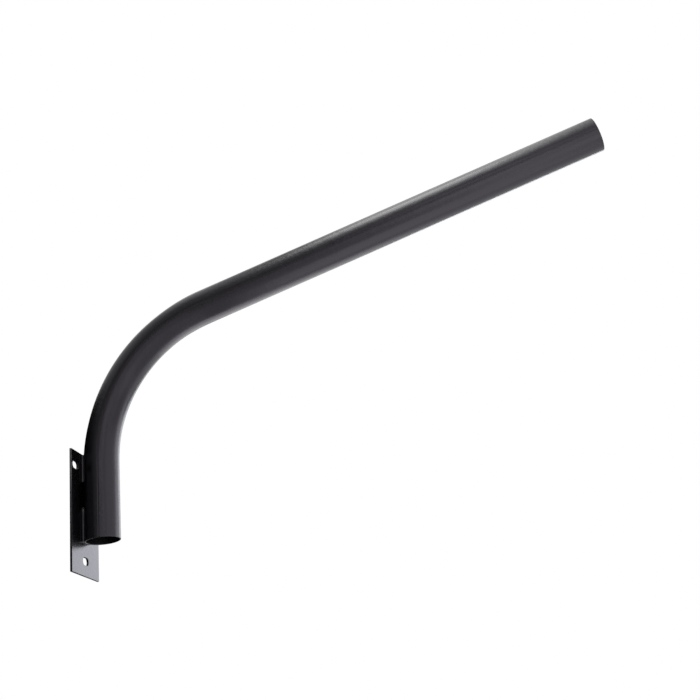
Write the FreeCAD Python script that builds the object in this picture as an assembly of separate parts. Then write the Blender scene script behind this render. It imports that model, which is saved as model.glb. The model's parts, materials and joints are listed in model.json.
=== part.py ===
import FreeCAD, Part
import math
import os

# Wall bracket arm for a street lamp: a bent steel tube, stitch welded to a flat wall plate.
# The origin is the centre of the plate's back face, on the wall. +X points away from the wall,
# +Z up, and the whole arm lies in the plane Y = 0. Lengths are in millimetres, angles in degrees.

# Tube: one length of round steel tube, bent once
tube_diameter = 48.0        # the standard spigot size that a street lamp's socket slips over
tube_wall = 2.0
lower_straight = 106.0      # from the lower mouth up to where the bend starts
bend_radius = 214.0         # to the tube's centre line
arm_rise = 16.0             # the upper straight's angle above the horizontal
arm_straight = 595.0        # from the end of the bend to the lamp end
mouth_cut_tilt = 3.0        # the lower end is sawn this much out of square, rising from the wall
tube_edge_break = 0.4       # the outer edge at both ends is broken by this much

# The bend flattens the section in its own plane, and spreads it sideways
bend_flattening = 1.1       # taken off the radius towards and away from the bend's centre
bend_spread = 0.5           # added to the radius sideways
flattening_run = 18.0       # degrees of bend over which the flattening comes and goes

# Wall plate
plate_width = 90.0
plate_height = 165.0
plate_thickness = 3.0
plate_edge_round = 0.6      # the plate's outline, front and back
slot_edge_break = 0.4       # the slots' rims, front and back
mouth_above_foot = 45.0     # the tube's lower mouth stands this far above the plate's lower edge

# Three slots for the wall anchors: a pair at the top, one at the foot
slot_width = 10.5
slot_length = 18.5
upper_slot_side_inset = 13.0  # from the plate's side edges to the centres of the upper pair
upper_slot_inset = 20.0     # from the plate's upper edge
lower_slot_inset = 20.0     # from the plate's lower edge

# Stitch welds, laid in the narrowing gap on each side of the line where the tube meets the plate
weld_gap = 2.8              # the gap between plate and tube at the middle of the bead
weld_diameter = 5.2         # the size of the rod of weld metal that fills it
upper_weld_length = 37.0
lower_weld_length = 47.0
weld_end_inset = 1.0        # a bead stops this short of the plate's edge or the tube's mouth
weld_nose = 1.5             # length of the bead's steep outer end
weld_tail = 7.0             # length over which the bead thins out at its inner end
weld_end_diameter = 3.2     # what is left of the rod at both ends

# Allowances of the construction, which leave no mark on the finished piece
run_sections = 4
overrun = 10.0

# Places that follow from the sizes
tube_radius = tube_diameter / 2
tube_axis_x = plate_thickness + tube_radius
plate_top = plate_height / 2
plate_foot = -plate_height / 2
mouth_z = plate_foot + mouth_above_foot
bend_start_z = mouth_z + lower_straight
bend_turn = 90.0 - arm_rise
mouth_low_z = mouth_z - tube_radius * math.tan(math.radians(mouth_cut_tilt))

UP = FreeCAD.Vector(0, 0, 1)
ACROSS = FreeCAD.Vector(0, 1, 0)
AWAY = FreeCAD.Vector(1, 0, 0)


def bend_point(turned):
    """The tube's centre after it has turned by so many degrees."""
    angle = math.radians(turned)
    x = tube_axis_x + bend_radius * (1 - math.cos(angle))
    z = bend_start_z + bend_radius * math.sin(angle)
    return FreeCAD.Vector(x, 0, z)


def bend_tangent(turned):
    angle = math.radians(turned)
    return FreeCAD.Vector(math.sin(angle), 0, math.cos(angle))


def tube_section(turned, share, inset):
    """The tube's outline across the bend, or its bore's where inset is the wall."""
    sideways = tube_radius + bend_spread * share - inset
    in_plane = tube_radius - bend_flattening * share - inset
    outline = Part.Ellipse(FreeCAD.Vector(0, 0, 0), sideways, in_plane).toShape()
    tangent = bend_tangent(turned)
    facing = FreeCAD.Rotation(ACROSS, tangent.cross(ACROSS), tangent, "ZXY")
    outline.Placement = FreeCAD.Placement(bend_point(turned), facing)
    return Part.Wire([outline])


def flattening_length(start, end, inset):
    """A stretch of bend over which the section goes from round, at start, to flattened, at end."""
    sections = []
    for step in range(run_sections):
        way = step / (run_sections - 1)
        share = way * way * (3 - 2 * way)
        sections.append(tube_section(start + (end - start) * way, share, inset))
    return Part.makeLoft(sections, True)


def bend_bar(inset):
    """The bend in three stretches: flattening, evenly flattened, and round again."""
    flat_from = flattening_run
    flat_to = bend_turn - flattening_run
    centre = FreeCAD.Vector(tube_axis_x + bend_radius, 0, bend_start_z)
    even = Part.Face(tube_section(flat_from, 1, inset)).revolve(centre, ACROSS, flat_to - flat_from)
    return [
        flattening_length(0, flat_from, inset),
        even,
        flattening_length(bend_turn, flat_to, inset),
    ]


def tube_core(inset, extra):
    """The tube as a full bar: lower straight, bend and arm, each end longer by extra."""
    foot = FreeCAD.Vector(tube_axis_x, 0, mouth_z - extra)
    radius = tube_radius - inset
    lower = Part.makeCylinder(radius, lower_straight + extra, foot, UP)
    arm = Part.makeCylinder(radius, arm_straight + extra, bend_point(bend_turn), bend_tangent(bend_turn))
    return lower.fuse(bend_bar(inset) + [arm])


def below_mouth():
    """The block that the slanted saw cut takes off at the tube's lower end."""
    size = 2 * tube_diameter
    block = Part.makeBox(size, size, size, FreeCAD.Vector(-size / 2, -size / 2, -size))
    block.rotate(FreeCAD.Vector(0, 0, 0), ACROSS, -mouth_cut_tilt)
    block.translate(FreeCAD.Vector(tube_axis_x, 0, mouth_z))
    return block


def beyond_lamp_end():
    """The block past the square cut at the lamp end."""
    direction = bend_tangent(bend_turn)
    end = bend_point(bend_turn) + direction * arm_straight
    return Part.makeCylinder(tube_diameter, tube_diameter, end, direction)


def end_edges(tube):
    """The outer edge of the tube at its mouth and at its lamp end."""
    direction = bend_tangent(bend_turn)
    ends = [
        FreeCAD.Vector(tube_axis_x, 0, mouth_z),
        bend_point(bend_turn) + direction * arm_straight,
    ]
    smallest = 2 * math.pi * (tube_radius - tube_wall / 2)
    picked = []
    for edge in tube.Edges:
        close = min(edge.CenterOfMass.distanceToPoint(end) for end in ends) < tube_wall
        if close and edge.Length > smallest:
            picked.append(edge)
    return picked


def arm_tube(bar):
    tube = bar.cut([below_mouth(), beyond_lamp_end(), tube_core(tube_wall, 2 * overrun)])
    tube = tube.removeSplitter()
    return tube.makeChamfer(tube_edge_break, end_edges(tube))


def slot(y, z):
    """A slot along Y, with round ends, right through the plate."""
    reach = (slot_length - slot_width) / 2
    depth = plate_thickness + 2 * overrun
    corner = FreeCAD.Vector(-overrun, y - reach, z - slot_width / 2)
    shape = Part.makeBox(depth, 2 * reach, slot_width, corner)
    for side in (-reach, reach):
        centre = FreeCAD.Vector(-overrun, y + side, z)
        shape = shape.fuse(Part.makeCylinder(slot_width / 2, depth, centre, AWAY))
    return shape.removeSplitter()


def slot_rims(plate):
    """The edges of the slots, front and back: those on a broad face, well inside the outline."""
    margin = slot_edge_break + plate_edge_round
    rims = []
    for edge in plate.Edges:
        box = edge.BoundBox
        flat = box.XLength < slot_edge_break
        off_sides = max(abs(box.YMin), abs(box.YMax)) < plate_width / 2 - margin
        off_ends = max(abs(box.ZMin), abs(box.ZMax)) < plate_height / 2 - margin
        if flat and off_sides and off_ends:
            rims.append(edge)
    return rims


def plate_blank():
    corner = FreeCAD.Vector(0, -plate_width / 2, plate_foot)
    return Part.makeBox(plate_thickness, plate_width, plate_height, corner)


def wall_plate():
    upper_y = plate_width / 2 - upper_slot_side_inset
    upper_z = plate_top - upper_slot_inset
    lower_z = plate_foot + lower_slot_inset
    places = [(-upper_y, upper_z), (upper_y, upper_z), (0, lower_z)]
    plate = plate_blank()
    outline = [edge for edge in plate.Edges if edge.BoundBox.XLength < plate_edge_round]
    plate = plate.makeFillet(plate_edge_round, outline)
    for y, z in places:
        plate = plate.cut(slot(y, z))
    return plate.makeChamfer(slot_edge_break, slot_rims(plate))


def weld_rod(nose_end, tail_end):
    """A rod of weld metal: steep at its nose, and long and thin towards its tail."""
    radius = weld_diameter / 2
    end_radius = weld_end_diameter / 2
    # The rod lies where the gap between plate and tube has its stated size
    axis_x = plate_thickness + weld_gap / 2
    from_seat = math.sqrt(tube_radius ** 2 - (tube_radius - weld_gap) ** 2)
    towards_tail = math.copysign(1, tail_end - nose_end)

    def at(out, z):
        return FreeCAD.Vector(axis_x + out, from_seat, z)

    outline = Part.makePolygon([
        at(0, nose_end),
        at(end_radius, nose_end),
        at(radius, nose_end + towards_tail * weld_nose),
        at(radius, tail_end - towards_tail * weld_tail),
        at(end_radius, tail_end),
        at(0, tail_end),
        at(0, nose_end),
    ])
    return Part.Face(outline).revolve(at(0, nose_end), UP, 360)


def weld_bead(bar, side, nose_end, tail_end):
    """One stitch weld, seated face to face on the plate and on the tube."""
    rod = weld_rod(nose_end, tail_end)
    if side < 0:
        rod = rod.mirror(FreeCAD.Vector(0, 0, 0), ACROSS)
    return rod.cut([bar, plate_blank()])


def weld_beads(bar):
    upper_end = plate_top - weld_end_inset
    lower_end = mouth_low_z + weld_end_inset
    beads = {}
    for name, side in (("left", -1), ("right", 1)):
        beads["weld_upper_" + name] = weld_bead(bar, side, upper_end, upper_end - upper_weld_length)
        beads["weld_lower_" + name] = weld_bead(bar, side, lower_end, lower_end + lower_weld_length)
    return beads


def main():
    os.makedirs("parts", exist_ok=True)
    bar = tube_core(0, overrun)
    nodes = {"arm_tube": arm_tube(bar), "wall_plate": wall_plate()}
    nodes.update(weld_beads(bar))
    for name, shape in nodes.items():
        solid = shape.Solids[0]
        print(name, "solids", len(shape.Solids), "valid", shape.isValid(), "volume", round(shape.Volume, 1))
        solid.exportStep("parts/" + name + ".step")


main()
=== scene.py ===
# %% [markdown]
# A wall bracket arm for a street lamp, dressed for its picture. The real thing is one bent steel tube,
# stitch welded to a flat wall plate and powder coated black. The measured model gives the main sizes,
# so this file adds only what such a model lacks: fine meshes, the tube's seam, weld ripples, the coat
# and the studio.

import json
import math

import bmesh
import bpy
import numpy as np
from mathutils import Matrix, Vector


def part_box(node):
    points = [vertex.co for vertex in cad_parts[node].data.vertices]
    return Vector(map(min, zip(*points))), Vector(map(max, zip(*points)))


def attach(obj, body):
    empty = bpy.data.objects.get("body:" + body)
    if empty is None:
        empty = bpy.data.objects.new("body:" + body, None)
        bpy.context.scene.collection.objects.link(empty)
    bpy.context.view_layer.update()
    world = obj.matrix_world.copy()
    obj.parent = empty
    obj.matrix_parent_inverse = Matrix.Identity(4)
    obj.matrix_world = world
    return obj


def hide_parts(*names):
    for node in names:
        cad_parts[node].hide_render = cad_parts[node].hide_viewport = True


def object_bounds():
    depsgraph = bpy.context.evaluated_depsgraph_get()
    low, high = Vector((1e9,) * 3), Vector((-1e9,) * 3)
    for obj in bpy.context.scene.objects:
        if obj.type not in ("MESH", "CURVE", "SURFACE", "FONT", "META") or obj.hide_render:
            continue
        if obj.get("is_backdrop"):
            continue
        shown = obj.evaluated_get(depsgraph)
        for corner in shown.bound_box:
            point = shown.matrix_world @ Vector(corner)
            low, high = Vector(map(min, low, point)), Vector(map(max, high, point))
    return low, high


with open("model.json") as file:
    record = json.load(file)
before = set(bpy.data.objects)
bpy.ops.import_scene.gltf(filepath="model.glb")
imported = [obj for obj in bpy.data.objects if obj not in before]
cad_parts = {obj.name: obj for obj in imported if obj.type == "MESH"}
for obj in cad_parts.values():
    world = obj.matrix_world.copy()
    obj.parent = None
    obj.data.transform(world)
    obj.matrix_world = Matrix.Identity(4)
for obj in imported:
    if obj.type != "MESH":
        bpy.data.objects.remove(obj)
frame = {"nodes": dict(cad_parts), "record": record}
frame_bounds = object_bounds()
print("nodes:", sorted(frame["nodes"]))

# %% [markdown]
# Every length below is in metres. The tube's radii, its two straights and its bend follow from the
# record's mounts: the spigot is the outside of the upper straight, and the cable entry is the bore of
# the lower one. Reading them from there keeps the picture and the measured part the same size.

# %% Sizes from the frame
MM = 0.001
mounts = {m["name"]: m for m in frame["record"]["mounts"]}
spigot = mounts["lamp_spigot"]
entry = mounts["cable_entry"]

tube_radius = spigot["dims"]["r_mm"] * MM
bore_radius = entry["dims"]["r_mm"] * MM
tube_wall = tube_radius - bore_radius
arm_axis = Vector(spigot["axis"]).normalized()
arm_length = spigot["dims"]["length_mm"] * MM
lower_length = entry["dims"]["length_mm"] * MM
bend_end = Vector(spigot["pos_m"]) - arm_axis * arm_length / 2
bend_start = Vector(entry["pos_m"]) + Vector((0, 0, lower_length / 2))
mouth = bend_start - Vector((0, 0, lower_length))
bend_turn = math.acos(arm_axis.z)
bend_radius = (bend_end.x - bend_start.x) / (1 - math.cos(bend_turn))

plate_low, plate_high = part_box("wall_plate")
plate_front = plate_high.x
print(f"tube {2 * tube_radius:.3f} m, bend radius {bend_radius:.3f} m")
print(f"bent by {math.degrees(bend_turn):.1f} degrees")

# %% [markdown]
# The camera stands in front of the arm, a little to its right and below it, and looks up. A camera
# can be aimed at a point with a constraint, or given its three turns. Three turns are used here,
# because they were worked out from the picture's outlines and hold the horizon's slight tilt too.

# %% Camera
PICTURE_SIDE = 700            # pixels
FOCAL_PIXELS = 1203           # the focal length, counted in pixels of the picture
SENSOR = 0.036                # the picture's width inside the camera
camera_place = Vector((0.6268, -1.5010, -0.3877))
camera_turn = math.radians(9.236)
camera_rise = math.radians(20.420)
camera_roll = math.radians(-5.308)

camera_data = bpy.data.cameras.new("camera")
camera_data.sensor_width = SENSOR / MM
camera_data.lens = FOCAL_PIXELS / PICTURE_SIDE * camera_data.sensor_width
camera = bpy.data.objects.new("camera", camera_data)
bpy.context.scene.collection.objects.link(camera)
# A new camera looks straight down, so it first rises by a right angle
aim = Matrix.Rotation(camera_turn, 3, "Z") @ Matrix.Rotation(math.pi / 2 + camera_rise, 3, "X")
aim = aim @ Matrix.Rotation(camera_roll, 3, "Z")
camera.matrix_world = Matrix.Translation(camera_place) @ aim.to_4x4()
bpy.context.scene.camera = camera
print(f"lens {camera_data.lens:.2f} mm at {tuple(camera_place)}")

# %% [markdown]
# The real tube is one length of round steel tube, bent once. It could be a curve with a round bevel,
# but a curve has no wall, keeps one section all along and can't be cut at a slant. So rings of points
# are laid out one by one: up the outside, over the rounded rim, and back down the bore, as one closed skin.

# %% The tube's centre line
bend_length = bend_radius * bend_turn
tube_length = lower_length + bend_length + arm_length


def centre_line(distance):
    """The centre, the side away from the bend's middle, and the turn, so far along from the mouth."""
    turned = min(max((distance - lower_length) / bend_radius, 0.0), bend_turn)
    outwards = Vector((-math.cos(turned), 0, math.sin(turned)))
    onwards = Vector((math.sin(turned), 0, math.cos(turned)))
    middle = bend_start + Vector((bend_radius, 0, 0))
    centre = middle + outwards * bend_radius
    past = min(distance - lower_length, 0.0) + max(distance - lower_length - bend_length, 0.0)
    return centre + onwards * past, outwards, onwards, turned


far_end = centre_line(tube_length)[0]
print(f"tube length {tube_length:.3f} m, far end at {tuple(round(c, 4) for c in far_end)}")

# %% [markdown]
# Bending a tube squeezes its section: it gets thinner in the bend's own plane, and a little wider
# sideways. A lattice could squeeze it, but a formula is shorter and keeps the straights exactly round:
# the squeeze comes in over the first degrees of the bend and goes again before its end.

# %% The section in the bend
FLATTENING = 1.1 * MM         # taken off the radius in the bend's plane
FLATTENING_RUN = math.radians(18)
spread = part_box("arm_tube")[1].y - tube_radius


def soft_step(way):
    """A way from 0 to 1 that sets off softly and arrives softly."""
    return way * way * (3 - 2 * way)


def squeeze(turned):
    """0 on the straights, 1 across the middle of the bend."""
    return soft_step(min(1.0, turned / FLATTENING_RUN, (bend_turn - turned) / FLATTENING_RUN))


print(f"spread sideways by {spread / MM:.2f} mm, squeezed by {FLATTENING / MM:.2f} mm")

# %% [markdown]
# A sawn tube end has two edges, and the coat rounds both of them. A bevel modifier could round them too,
# but the profile goes over the rim anyway, so it takes each edge as a quarter circle. A thin line of
# light can then run along the rim, as it does on the real part.

# %% The skin's profile: how far along, and at what radius
RIM_ROUND = 0.55 * MM
RIM_STEPS = 5
AROUND = 120
LOW_RINGS, BEND_RINGS, ARM_RINGS = 16, 74, 24


def rim(end, direction, from_radius, to_radius):
    """Rounded edge, flat face and rounded edge of one tube end, from one radius to the other."""
    side = math.copysign(1.0, to_radius - from_radius)
    first, last = [], []
    for step in range(RIM_STEPS + 1):
        angle = math.pi / 2 * step / RIM_STEPS
        shrinking = RIM_ROUND * (1 - math.sin(angle))
        growing = RIM_ROUND * (1 - math.cos(angle))
        first.append((end - direction * shrinking, from_radius + side * growing))
        last.append((end - direction * growing, to_radius - side * shrinking))
    return first + last


def stations():
    """The rings' places along the tube: close together in the bend, and clear of the rounded rims."""
    arm_start = lower_length + bend_length
    low = np.linspace(2 * RIM_ROUND, lower_length, LOW_RINGS, endpoint=False)
    bend = np.linspace(lower_length, arm_start, BEND_RINGS, endpoint=False)
    arm = np.linspace(arm_start, tube_length - 2 * RIM_ROUND, ARM_RINGS)
    return list(np.concatenate([low, bend, arm]))


along = stations()
profile = [(s, tube_radius) for s in along]
profile += rim(tube_length, 1, tube_radius, bore_radius)
profile += [(s, bore_radius) for s in reversed(along)]
profile += rim(0.0, -1, bore_radius, tube_radius)
print(len(profile), "rings of", AROUND, "points")

# %% [markdown]
# The tube was rolled from flat strip and welded shut along its side, where bending strains it least.
# That leaves a long shallow groove outside, between two edges that stand a touch out of round, and a
# small bead inside. It shows on the lower straight, and fades where the bend begins. A bump map could
# fake it, but it would miss from the bare mesh, so it is modelled: every ring starts at the seam, and
# its points crowd together there.

# %% Points round the tube
SEAM_ANGLE = math.radians(-99)      # from the outside of the bend, round by the left side
GROOVE_HALF_WIDTH = 1.3 * MM
GROOVE_DEPTH = 0.28 * MM
EDGE_LIFT = 0.20 * MM         # how far the strip's edges stand out of round
EDGE_RUN = 3.2 * MM
BEAD_HALF_WIDTH = 1.4 * MM
BEAD_HEIGHT = 0.4 * MM
SEAM_LEFT = 0.2               # the share of the groove that is left further up
SEAM_FADE = 60 * MM           # the length over which it fades
SEAM_MARGIN = 0.8 * MM        # from the edges to the first of the evenly spread points
GROOVE_POINTS, EDGE_POINTS = 6, 5
in_groove = list(np.linspace(0, GROOVE_HALF_WIDTH, GROOVE_POINTS))
on_edge = list(np.linspace(GROOVE_HALF_WIDTH, EDGE_RUN, EDGE_POINTS))
near_seam = in_groove + on_edge[1:]
whole_way = 2 * math.pi * tube_radius
beyond_seam = EDGE_RUN + SEAM_MARGIN
elsewhere = list(np.linspace(beyond_seam, whole_way - beyond_seam, AROUND - 2 * len(near_seam) + 1))
ways_round = near_seam + elsewhere + [whole_way - way for way in reversed(near_seam[1:])]


def fade(way, reach):
    """1 at the seam, and softly down to 0 at this reach from it."""
    return soft_step(max(0.0, 1 - way / reach))


def seam_share(distance):
    """1 on the lower straight, and down to what is left of the seam past the bend's start."""
    way = min(1.0, max(0.0, (distance - lower_length) / SEAM_FADE + 0.5))
    return 1 - (1 - SEAM_LEFT) * soft_step(way)


def relief(way, radius, distance):
    """How far the skin stands out of round, at this way from the seam."""
    way = min(way, whole_way - way)
    outside = (radius - bore_radius) / tube_wall
    groove = EDGE_LIFT * max(0.0, 1 - way / EDGE_RUN) - GROOVE_DEPTH * fade(way, GROOVE_HALF_WIDTH)
    bead = (1 - outside) * BEAD_HEIGHT * fade(way, BEAD_HALF_WIDTH)
    return outside * groove * seam_share(distance) - bead


print(len(ways_round), "points round, the seam", round(relief(0, tube_radius, 0) / MM, 2), "mm deep")

# %% [markdown]
# The lower mouth is sawn a few degrees out of square. A boolean cut would leave long thin faces, so the
# rings near the mouth are sheared by that slant instead, which fades out over a few centimetres. Each
# point's place on the tube as it was before bending is stored as an attribute, because the finish later
# follows the tube round its bend.

# %% Build the tube
MOUTH_TILT = math.radians(3)
TILT_FADE = 30 * MM           # the slant is gone this far from the mouth


def new_piece(name, mesh, replaced):
    """A piece of the part, riding on its one body in place of a measured node."""
    piece = bpy.data.objects.new(name, mesh)
    bpy.context.scene.collection.objects.link(piece)
    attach(piece, "root")
    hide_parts(replaced)
    return piece


def grid_mesh(name, rings, closed_along):
    """Quads between rings of points. Each ring is closed, and the last joins the first if asked."""
    count, around = len(rings), len(rings[0])
    faces = []
    for i in range(count if closed_along else count - 1):
        for j in range(around):
            here, there = i * around, (i + 1) % count * around
            after = (j + 1) % around
            faces.append((here + j, here + after, there + after, there + j))
    mesh = bpy.data.meshes.new(name)
    mesh.from_pydata([tuple(p) for ring in rings for p in ring], [], faces)
    mesh.shade_smooth()
    return mesh


def tube_ring(distance, radius):
    """One ring of points, and where each lay on the tube before it was bent."""
    centre, outwards, onwards, turned = centre_line(distance)
    share = squeeze(turned)
    slant = math.tan(MOUTH_TILT) * max(0.0, 1 - distance / TILT_FADE)
    ring, places = [], []
    for way in ways_round:
        angle = SEAM_ANGLE + way / tube_radius
        raised = radius + relief(way, radius, distance)
        in_plane = math.cos(angle) * (raised - FLATTENING * share)
        sideways = math.sin(angle) * (raised + spread * share)
        point = centre + outwards * in_plane + Vector((0, sideways, 0))
        point.z += slant * (point.x - mouth.x)
        ring.append(point)
        places.append((math.cos(angle) * radius, math.sin(angle) * radius, distance))
    return ring, places


rings, tube_places = zip(*[tube_ring(s, r) for s, r in profile])
tube_mesh = grid_mesh("tube_skin", rings, True)
place = tube_mesh.attributes.new("tube_place", "FLOAT_VECTOR", "POINT")
place.data.foreach_set("vector", [c for ring in tube_places for p in ring for c in p])
tube = new_piece("tube_skin", tube_mesh, "arm_tube")
print("tube:", len(tube_mesh.polygons), "faces")

# %% [markdown]
# The plate is flat bar with three slots, cut or punched through. A filled curve makes such a plate in
# one go: the outline and the slots are closed splines, the extrusion is the thickness and the bevel
# rounds every edge. It could be a box with boolean cuts, but the curve keeps the rims clean.

# %% Outline and slots of the plate
SLOT_WIDTH = 2 * mounts["upper_slots"]["dims"]["hole_r_mm"] * MM
SLOT_LENGTH = mounts["upper_slots"]["dims"]["slot_length_mm"] * MM
slot_pitch = mounts["upper_slots"]["dims"]["spacing_x_mm"] * MM
upper_z = mounts["upper_slots"]["pos_m"][2]
lower_z = mounts["lower_slot"]["pos_m"][2]
SLOT_END_STEPS = 24
slot_places = [(-slot_pitch / 2, upper_z), (slot_pitch / 2, upper_z), (0.0, lower_z)]


def slot_outline(y, z):
    """The slot's outline in the plate's plane, from its right end round to its left."""
    reach = (SLOT_LENGTH - SLOT_WIDTH) / 2
    points = []
    for side in (1, -1):
        for step in range(SLOT_END_STEPS + 1):
            angle = math.pi * (step / SLOT_END_STEPS - 0.5)
            out = side * (reach + SLOT_WIDTH / 2 * math.cos(angle))
            points.append((y + out, z + side * SLOT_WIDTH / 2 * math.sin(angle)))
    return points


plate_outline = [
    (plate_low.y, plate_low.z),
    (plate_high.y, plate_low.z),
    (plate_high.y, plate_high.z),
    (plate_low.y, plate_high.z),
]
print("slots at", slot_places)

# %% Build the plate
PLATE_ROUND = 0.35 * MM
PLATE_ROUND_STEPS = 4


def closed_spline(curve, points):
    """The points joined up into one closed line of the drawing."""
    spline = curve.splines.new("POLY")
    spline.points.add(len(points) - 1)
    for target, (y, z) in zip(spline.points, points):
        target.co = (y, z, 0, 1)
    spline.use_cyclic_u = True


plate_curve = bpy.data.curves.new("plate_outline", "CURVE")
plate_curve.dimensions = "2D"
plate_curve.fill_mode = "BOTH"
for points in [plate_outline] + [slot_outline(y, z) for y, z in slot_places]:
    closed_spline(plate_curve, points)
plate_curve.bevel_depth = PLATE_ROUND
plate_curve.bevel_resolution = PLATE_ROUND_STEPS
plate_curve.offset = -PLATE_ROUND
plate_curve.extrude = (plate_high.x - plate_low.x) / 2 - PLATE_ROUND
drawn = bpy.data.objects.new("plate_drawing", plate_curve)
plate_mesh = bpy.data.meshes.new_from_object(drawn)
plate_mesh.name = "plate_skin"
# The drawing's x, y and thickness are the plate's Y, Z and X
turn = Matrix(((0, 0, 1), (1, 0, 0), (0, 1, 0))).to_4x4()
middle = (plate_low.x + plate_high.x) / 2
plate_mesh.transform(Matrix.Translation((middle, 0, 0)) @ turn)
bpy.data.objects.remove(drawn)
bpy.data.curves.remove(plate_curve)
plate = new_piece("plate_skin", plate_mesh, "wall_plate")
print("plate:", len(plate_mesh.polygons), "faces", [round(c, 4) for c in plate.dimensions])

# %% [markdown]
# Each stitch weld fills the narrowing gap between tube and plate. A welder lays it drop after drop, so
# its face is a row of small crescents that point back to where the bead began. The bead is laid out as
# rings along the gap: the ring's size follows the stitch, and each crescent lifts its face a little. A
# texture could draw the crescents, but their edges catch the light only when they are really there.

# %% The bead's size along its stitch
WELD_GAP = 2.8 * MM           # between tube and plate, where the bead sits
WELD_RADIUS = 2.6 * MM
WELD_END_RADIUS = 1.0 * MM
WELD_NOSE = 1.0 * MM          # the length over which a bead swells where it was begun
WELD_TAIL = {"upper": 1.5 * MM, "lower": 12 * MM}   # and over which it thins out at its other end
TAIL_RUN_ON = 2.5 * MM        # the upper beads end this far past their measured solids
NOSE_RUN_ON = 1.0 * MM        # and the lower ones begin this far before theirs


def weld_radius(from_nose, length, tail_run):
    """The bead's size so far along it: thin at both ends, and full between them."""
    nose = min(1.0, from_nose / WELD_NOSE)
    tail = min(1.0, (length - from_nose) / tail_run)
    return WELD_END_RADIUS + (WELD_RADIUS - WELD_END_RADIUS) * math.sin(math.pi / 2 * min(nose, tail))


def weld_seat(radius):
    """Where a bead of this size lies between plate and tube: the thinner, the deeper in the gap."""
    gap = WELD_GAP * radius / WELD_RADIUS
    return plate_front + gap / 2, math.sqrt(tube_radius ** 2 - (tube_radius - gap) ** 2)


print(f"beads {2 * WELD_RADIUS / MM:.1f} mm thick, and {2 * WELD_END_RADIUS / MM:.1f} mm at their ends")

# %% Build the welds
RIPPLE_PITCH = 1.9 * MM
RIPPLE_HEIGHT = 0.16 * MM
RIPPLE_LAG = 1.1 * MM         # how far a crescent's middle runs ahead of its two ends
RINGS_PER_RIPPLE = 7
WANDER = 0.07 * MM            # the bead sways by this much from side to side
WANDER_PITCH = 3.7 * MM
WELD_AROUND = 28


def weld_mesh(name, side, nose, tail, tail_run):
    """One bead, from the height of its nose to that of its tail, closed at both ends."""
    length = abs(tail - nose)
    steps = int(length / RIPPLE_PITCH * RINGS_PER_RIPPLE)
    upwards = math.copysign(1.0, tail - nose)
    rings = []
    for i in range(steps + 1):
        along_bead = length * i / steps
        size = weld_radius(along_bead, length, tail_run)
        seat_x, seat_y = weld_seat(size)
        ring = []
        for j in range(WELD_AROUND):
            angle = 2 * math.pi * j / WELD_AROUND
            facing = math.cos(angle)          # 1 in the middle of the bead's open face
            ripple = ((along_bead + RIPPLE_LAG * facing) / RIPPLE_PITCH) % 1.0
            wander = WANDER * math.sin(along_bead / WANDER_PITCH + side)
            radius = size - RIPPLE_HEIGHT * (1 - ripple) ** 2
            x = seat_x - side * upwards * radius * math.sin(angle)
            y = side * (seat_y + radius * facing) + wander
            ring.append(Vector((x, y, nose + upwards * along_bead)))
        rings.append(ring)
    mesh = grid_mesh(name, rings, False)
    close = bmesh.new()
    close.from_mesh(mesh)
    bmesh.ops.holes_fill(close, edges=[e for e in close.edges if e.is_boundary])
    bmesh.ops.recalc_face_normals(close, faces=close.faces)
    close.to_mesh(mesh)
    close.free()
    return mesh


welds = []
for node in ("weld_upper_left", "weld_upper_right", "weld_lower_left", "weld_lower_right"):
    low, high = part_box(node)
    side = -1 if node.endswith("left") else 1
    row = "upper" if "upper" in node else "lower"
    if row == "upper":
        nose, tail = high.z, low.z - TAIL_RUN_ON
    else:
        nose, tail = low.z - NOSE_RUN_ON, high.z
    mesh = weld_mesh(node + "_bead", side, nose, tail, WELD_TAIL[row])
    welds.append(new_piece(node + "_bead", mesh, node))
    print(node, "from", round(nose, 4), "to", round(tail, 4))

# %% [markdown]
# The finish is a black powder coat, baked on over tube, plate and welds alike. Up close it has a soft
# orange peel and a fine grain. Black reflects almost nothing by itself, so all that is seen of it is
# what it mirrors, and how blurred. One flat black would mirror like glass. So peel and grain are noise
# turned into bumps, and faint clouds of noise vary the colour and the blur from place to place.

# %% A helper for node materials
NOISE_LOW, NOISE_HIGH = 0.3, 0.7    # a noise seldom goes past these


def new_material(name):
    material = bpy.data.materials.new(name)
    material.use_nodes = True
    return material, material.node_tree


def add(tree, kind, **values):
    """A node with its inputs and settings filled in by name."""
    node = tree.nodes.new(kind)
    for name, value in values.items():
        if name in node.inputs:
            node.inputs[name].default_value = value
        else:
            setattr(node, name, value)
    return node


def noise(tree, where, scale, detail=2.0, roughness=0.5):
    """Smooth noise from 0 to 1, with so many bumps to the metre."""
    node = add(tree, "ShaderNodeTexNoise", Scale=scale, Detail=detail, Roughness=roughness)
    tree.links.new(where, node.inputs["Vector"])
    return node.outputs["Fac"]


def ramp(tree, source, low, high):
    """The source's 0 to 1 turned into low to high."""
    node = add(tree, "ShaderNodeMapRange")
    node.inputs["To Min"].default_value = low
    node.inputs["To Max"].default_value = high
    tree.links.new(source, node.inputs["Value"])
    return node.outputs["Result"]


def colours(tree, source, first, second):
    """The first colour where a noise is low, the second where it is high, and a soft change between."""
    node = tree.nodes.new("ShaderNodeValToRGB")
    low, high = node.color_ramp.elements
    low.position, low.color = NOISE_LOW, (*first, 1)
    high.position, high.color = NOISE_HIGH, (*second, 1)
    tree.links.new(source, node.inputs["Fac"])
    return node.outputs["Color"]


def bumps(tree, shader, layers):
    """Stacks bump layers, each (height, distance in metres), onto a shader."""
    before = None
    for height, distance in layers:
        node = add(tree, "ShaderNodeBump", Strength=1.0, Distance=distance)
        tree.links.new(height, node.inputs["Height"])
        if before:
            tree.links.new(before, node.inputs["Normal"])
        before = node.outputs["Normal"]
    tree.links.new(before, shader.inputs["Normal"])


print("noise is read from", NOISE_LOW, "to", NOISE_HIGH)

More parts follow.
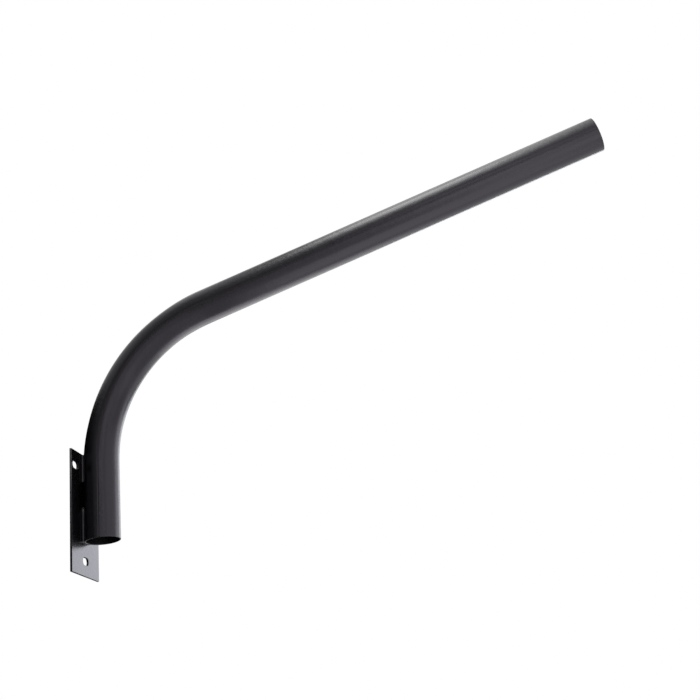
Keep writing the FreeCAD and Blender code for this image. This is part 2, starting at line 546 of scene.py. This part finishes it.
# %% The powder coat
CLOUDS = 9.0                  # patches to the metre, roughly, and so on down to the grain
WAVES = 50.0
ORANGE_PEEL = 190.0
GRAIN = 900.0
COAT_DARK = (0.0016, 0.0015, 0.0019)
COAT_LIGHT = (0.0028, 0.0026, 0.0034)
COAT_TINT = (0.90, 0.84, 0.97)      # what the coat mirrors leans a little towards violet
COAT_MIRRORS = 0.6            # a touch more than the shader's usual 0.5
COAT_IOR = 1.5
ROUGHNESS_SPREAD = 0.03


def powder_coat(name, peel, grain, roughness, waves=0.0, marks=None):
    """Black powder coat. Waves, peel and grain are bump heights in metres, and marks adds its own bumps."""
    material, tree = new_material(name)
    shader = tree.nodes["Principled BSDF"]
    where = tree.nodes.new("ShaderNodeTexCoord").outputs["Object"]
    cloud = noise(tree, where, CLOUDS, detail=4.0, roughness=0.6)
    black = colours(tree, cloud, COAT_DARK, COAT_LIGHT)
    tree.links.new(black, shader.inputs["Base Color"])
    shader.inputs["IOR"].default_value = COAT_IOR
    shader.inputs["Specular IOR Level"].default_value = COAT_MIRRORS
    shader.inputs["Specular Tint"].default_value = (*COAT_TINT, 1)
    layers = [(noise(tree, where, ORANGE_PEEL), peel), (noise(tree, where, GRAIN), grain)]
    if waves:
        layers.append((noise(tree, where, WAVES), waves))
    uneven = cloud
    if marks:
        uneven, more_layers = marks(tree)
        layers += more_layers
    low, high = roughness - ROUGHNESS_SPREAD, roughness + ROUGHNESS_SPREAD
    tree.links.new(ramp(tree, uneven, low, high), shader.inputs["Roughness"])
    bumps(tree, shader, layers)
    return material


coat = powder_coat("powder_coat", peel=0.05 * MM, grain=0.015 * MM, roughness=0.27)
weld_coat = powder_coat("powder_coat_on_weld", peel=0.05 * MM, grain=0.02 * MM, roughness=0.36)
print("coats:", coat.name, weld_coat.name)

# %% [markdown]
# On the tube the coat also shows long soft waves and faint streaks, left by the rollers that shaped the
# steel under it. The streaks follow the bend, so they are laid out in the tube's own stored places, and
# not in plain x, y and z. Squeezing those places along the tube draws the noise out into streaks.

# %% The coat on the tube
STREAKS = 110.0               # streaks to the metre, round the tube
STREAK_SQUEEZE = 0.06         # along the tube there are this many times fewer
STREAK_HEIGHT = 0.06 * MM


def streaks(tree):
    """Noise drawn out along the tube, to vary the roughness and to raise faint ridges."""
    tube_place = add(tree, "ShaderNodeAttribute", attribute_name="tube_place").outputs["Vector"]
    squeezed = add(tree, "ShaderNodeVectorMath", operation="MULTIPLY")
    squeezed.inputs[1].default_value = (1, 1, STREAK_SQUEEZE)
    tree.links.new(tube_place, squeezed.inputs[0])
    streak = noise(tree, squeezed.outputs["Vector"], STREAKS, detail=3.0)
    return streak, [(streak, STREAK_HEIGHT)]


tube_coat = powder_coat(
    "powder_coat_on_tube", peel=0.11 * MM, grain=0.025 * MM, roughness=0.28, waves=0.25 * MM, marks=streaks)


def finish_with(material, pieces):
    """Gives the pieces this finish and no other."""
    for piece in pieces:
        piece.data.materials.clear()
        piece.data.materials.append(material)


finish_with(coat, [plate] + list(frame["nodes"].values()))
finish_with(tube_coat, [tube])
finish_with(weld_coat, welds)
print("coated:", tube.name, plate.name, len(welds), "welds")

# %% [markdown]
# The part hangs over a studio floor of matt white paper, which holds its shadow. A plain plane would do
# from above, but it would hide the part from below. So the paper's shader asks which side is looked at,
# and is clear from beneath.

# %% The floor
FLOOR_Z = -0.50
FLOOR_SIDE = 300              # far enough for a straight horizon
PAPER_WHITE = 0.84
PAPER_SHADE = 0.985           # its fibres are darker by this much
FIBRES = 3.0


def flat_piece(name, corners):
    """A stage piece of one flat face."""
    mesh = bpy.data.meshes.new(name)
    mesh.from_pydata(corners, [], [(0, 1, 2, 3)])
    item = bpy.data.objects.new(name, mesh)
    bpy.context.scene.collection.objects.link(item)
    item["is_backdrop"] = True
    return item


def clear_from_below(tree, face):
    """The face as it is from above, and nothing from below."""
    below = tree.nodes.new("ShaderNodeNewGeometry").outputs["Backfacing"]
    clear = tree.nodes.new("ShaderNodeBsdfTransparent")
    mix = tree.nodes.new("ShaderNodeMixShader")
    tree.links.new(below, mix.inputs["Fac"])
    tree.links.new(face, mix.inputs[1])
    tree.links.new(clear.outputs["BSDF"], mix.inputs[2])
    return mix.outputs["Shader"]


def show(tree, face):
    """Makes the face what the material shows."""
    tree.links.new(face, tree.nodes["Material Output"].inputs["Surface"])


def floor_paper(name):
    material, tree = new_material(name)
    shader = tree.nodes["Principled BSDF"]
    where = tree.nodes.new("ShaderNodeTexCoord").outputs["Object"]
    fibre = noise(tree, where, FIBRES)
    white = colours(tree, fibre, [PAPER_WHITE * PAPER_SHADE] * 3, [PAPER_WHITE] * 3)
    tree.links.new(white, shader.inputs["Base Color"])
    shader.inputs["Roughness"].default_value = 0.9
    shader.inputs["Specular IOR Level"].default_value = 0.0
    show(tree, clear_from_below(tree, shader.outputs["BSDF"]))
    return material


reach = FLOOR_SIDE / 2
floor_corners = [(-reach, -reach, FLOOR_Z), (reach, -reach, FLOOR_Z)]
floor_corners += [(reach, reach, FLOOR_Z), (-reach, reach, FLOOR_Z)]
floor = flat_piece("floor", floor_corners)
floor.data.materials.append(floor_paper("floor_paper"))
print("floor", FLOOR_SIDE, "m wide at", FLOOR_Z)

# %% [markdown]
# Five soft lamps light the part. Three overhead make one long light with a bright core, which draws the
# line of light along the arm's upper side. Two more stand behind on the right, and the plate mirrors
# them at a low angle. Point lamps would leave hard dots on a gloss coat, so each is a wide area light,
# set by the brightness of its face, which is what such a coat shows.

# %% Lamps
LEFT, RIGHT = -1.8, 2.6       # the studio's walls, from the wall plate
FRONT, BACK = -2.6, 2.4
TOP = 2.4
CORE_Z = TOP - 0.05           # the bright core hangs just under the other two
WHITE = (1, 1, 1)
TUBE_LIGHT = (1.0, 1.05, 0.95)
SKY_LIGHT = (0.95, 1.0, 1.11)
DOWN, FORWARDS = Vector((0, 0, -1)), Vector((0, -1, 0))

# The middle of each lamp, the way it shines, its width and height, radiance and colour
lamps = {
    "top_light": ((0.15, -0.95, TOP), DOWN, 0.9, 2.1, 1.7, TUBE_LIGHT),
    "top_light_far": ((0.15, 0.65, TOP), DOWN, 0.9, 1.1, 0.95, TUBE_LIGHT),
    "top_light_core": ((0.00, -0.50, CORE_Z), DOWN, 0.6, 1.2, 3.7, TUBE_LIGHT),
    "back_right_light": ((1.9, BACK, 0.85), FORWARDS, 1.4, 1.5, 0.85, WHITE),
    "plate_light": ((0.85, BACK, 0.5), FORWARDS, 0.7, 0.8, 2.2, SKY_LIGHT),
}


def lamp(name, place, shines, width, height, radiance, colour):
    """A soft light whose face has the given radiance, where the white background has 1."""
    data = bpy.data.lights.new(name, "AREA")
    data.shape = "RECTANGLE"
    data.size = width
    data.size_y = height
    data.energy = radiance * math.pi * width * height
    data.color = colour
    light = bpy.data.objects.new(name, data)
    bpy.context.scene.collection.objects.link(light)
    light.location = place
    light.rotation_euler = (-shines).to_track_quat("Z", "Y").to_euler()
    light.visible_camera = False
    light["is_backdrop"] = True


for name, (place, shines, width, height, radiance, colour) in lamps.items():
    lamp(name, place, shines, width, height, radiance, colour)
print(len(lamps), "lamps")

# %% [markdown]
# Round a black gloss part, white, grey and black boards are put up, and its whole look is made of them.
# Here they line the walls of a room that only reflections see. They could be more lamps, but lamps add
# to whatever is behind them, and a board that glows by itself has just the brightness that the coat
# should mirror there. On the left they are black, as is the side of the tube that mirrors them.
#
# A far board shows in the arm and in the bend alike. So three small ones stand close to the bend, where
# little else mirrors them, and dim its inner side.

# %% The boards
LOW = FLOOR_Z + 0.01          # just over the paper

# Two of x, y and z go from one value to another, and the third is where the board stands. Last is its
# radiance, where the white background has 1.
boards = {
    # At the sides
    "board_left": (LEFT, (FRONT, BACK), (LOW, 1.4), 0.0),
    "board_left_high": (LEFT, (FRONT, BACK), (1.4, TOP), 0.70),
    "board_right_back": (RIGHT, (1.2, BACK), (LOW, 1.4), 2.2),
    # Overhead
    "board_top_left": ((LEFT, -0.3), (FRONT, -1.3), TOP, 0.30),
    "board_top_left_side": ((LEFT, -1.1), (-1.3, 1.2), TOP, 0.60),
    "board_top_left_dim": ((-1.1, -0.72), (-1.3, -0.75), TOP, 0.5),
    "board_top_left_bright": ((-1.1, -0.72), (-0.75, 1.2), TOP, 1.25),
    "board_top_left_near": ((-0.72, -0.3), (-1.3, 1.2), TOP, 0.45),
    "board_top_right": ((0.6, 1.3), (-2.0, 1.2), TOP, 0.64),
    # On the floor
    "board_floor_left": ((LEFT, 0), (FRONT, BACK), LOW, 0.0),
    "board_floor_under": ((0, 0.25), (-0.8, 0.1), LOW, 0.8),
    "board_floor_inner": ((0.25, 0.42), (-0.8, 0.3), LOW, 1.1),
    "board_floor_middle": ((0.42, 1.3), (-0.8, 0.1), LOW, 1.65),
    "board_floor_front": ((0, 0.9), (FRONT, -0.8), LOW, 0.75),
    "board_floor_right": ((0.9, RIGHT), (FRONT, -0.8), LOW, 1.7),
    "board_floor_beyond": ((0.42, 0.75), (0.1, 0.5), LOW, 1.1),
    "board_floor_far": ((0.75, RIGHT), (0.1, BACK), LOW, 1.2),
    "board_floor_back": ((0, 0.42), (0.35, BACK), LOW, 2.6),
    "board_floor_behind": ((0.42, 0.75), (0.5, BACK), LOW, 2.2),
    # In front, where the camera is
    "board_front_left": ((LEFT, -0.8), FRONT, (LOW, 0.9), 0.15),
    "board_front_near": ((-0.8, -0.4), FRONT, (LOW, 0.9), 0.8),
    "board_front_gap": ((-0.4, 0), FRONT, (LOW, 0.55), 0.12),
    "board_front_low": ((0, 0.4), FRONT, (LOW, 0.55), 0.74),
    "board_front_middle": ((0.4, 0.8), FRONT, (LOW, 0.55), 1.15),
    "board_front_strip": ((0.8, 1.2), FRONT, (LOW, 0.55), 2.15),
    "board_front_right": ((1.2, 1.8), FRONT, (LOW, 0.9), 1.4),
    "board_front_far": ((1.8, RIGHT), FRONT, (LOW, 1.4), 0.55),
    "board_front_over": ((1.2, 1.8), FRONT, (0.9, 1.4), 0.55),
    "board_front_band": ((-0.4, 1.2), FRONT, (0.55, 0.9), 0.26),
    "board_front_dim": ((LEFT, -0.5), FRONT, (0.9, 1.6), 0.17),
    "board_front_dark": ((-0.5, 0.2), FRONT, (0.9, 1.6), 0.06),
    "board_front_high": ((0.2, 1.2), FRONT, (0.9, 1.6), 1.65),
    "board_front_top_left": ((LEFT, -0.2), FRONT, (1.6, TOP), 0.4),
    "board_front_top": ((-0.2, RIGHT), FRONT, (1.6, TOP), 0.74),
    # Behind
    "board_back_left": ((LEFT, -0.2), BACK, (LOW, 1.6), 0.23),
    "board_back": ((-0.2, 0.5), BACK, (LOW, 1.6), 1.68),
    # Near the bend
    "board_near": ((0.15, 0.58), -1.0, (-0.45, 0.22), 0.70),
    "board_near_low": ((0.23, 0.335), (-0.60, 0.06), -0.02, 0.85),
    "board_bend": ((0.205, 0.255), (-0.60, 0.05), 0.10, 0.6),
}
print(len(boards), "boards, radiance up to", max(radiance for x, y, z, radiance in boards.values()))

# %% Put the boards up
FROM_ABOVE = "board_bend"     # clear from below, because the lower tube mirrors what lies beyond it


def board(name, x, y, z, radiance):
    """A board that the part mirrors, and that neither shows nor shades anything."""
    ranges = [place if isinstance(place, tuple) else (place, place) for place in (x, y, z)]
    across, up = [axis for axis in range(3) if ranges[axis][0] != ranges[axis][1]]
    corners = []
    for a, u in ((0, 0), (1, 0), (1, 1), (0, 1)):
        corner = [low for low, high in ranges]
        corner[across] = ranges[across][a]
        corner[up] = ranges[up][u]
        corners.append(corner)
    item = flat_piece(name, corners)
    for kind in ("camera", "diffuse", "transmission", "shadow"):
        setattr(item, "visible_" + kind, False)
    material, tree = new_material(name)
    face = add(tree, "ShaderNodeEmission", Color=(*WHITE, 1), Strength=radiance).outputs["Emission"]
    if name == FROM_ABOVE:
        face = clear_from_below(tree, face)
    show(tree, face)
    item.data.materials.append(material)


for name, (x, y, z, radiance) in boards.items():
    board(name, x, y, z, radiance)
print("put up:", ", ".join(boards))

# %% [markdown]
# The background is plain white. A backdrop could be modelled, but an even world does it from all sides.
# A matt face, such as the paper, is lit by a smaller share of it, so the floor stays just under white
# and the shadow on it still shows.

# %% Background
BACKGROUND = 1.0              # pure white in the picture
DIFFUSE_SHARE = 0.72
world = bpy.data.worlds.new("studio")
bpy.context.scene.world = world
world.use_nodes = True
tree = world.node_tree
background = tree.nodes["Background"]
background.inputs["Color"].default_value = (*WHITE, 1)
path = tree.nodes.new("ShaderNodeLightPath")
strength = ramp(tree, path.outputs["Is Diffuse Ray"], BACKGROUND, DIFFUSE_SHARE)
tree.links.new(strength, background.inputs["Strength"])
bpy.context.scene.view_settings.view_transform = "Standard"
print("background", BACKGROUND, "and on matt faces", DIFFUSE_SHARE)

# %% [markdown]
# Last, the dressed part's size is printed beside the measured one. Every piece lies inside the measured
# box, so the two boxes should agree to a few hundredths of a millimetre.

dressed_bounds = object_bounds()
for label, (low, high) in (("frame", frame_bounds), ("dressed", dressed_bounds)):
    print(label, [round(v / MM, 2) for v in low], [round(v / MM, 2) for v in high])
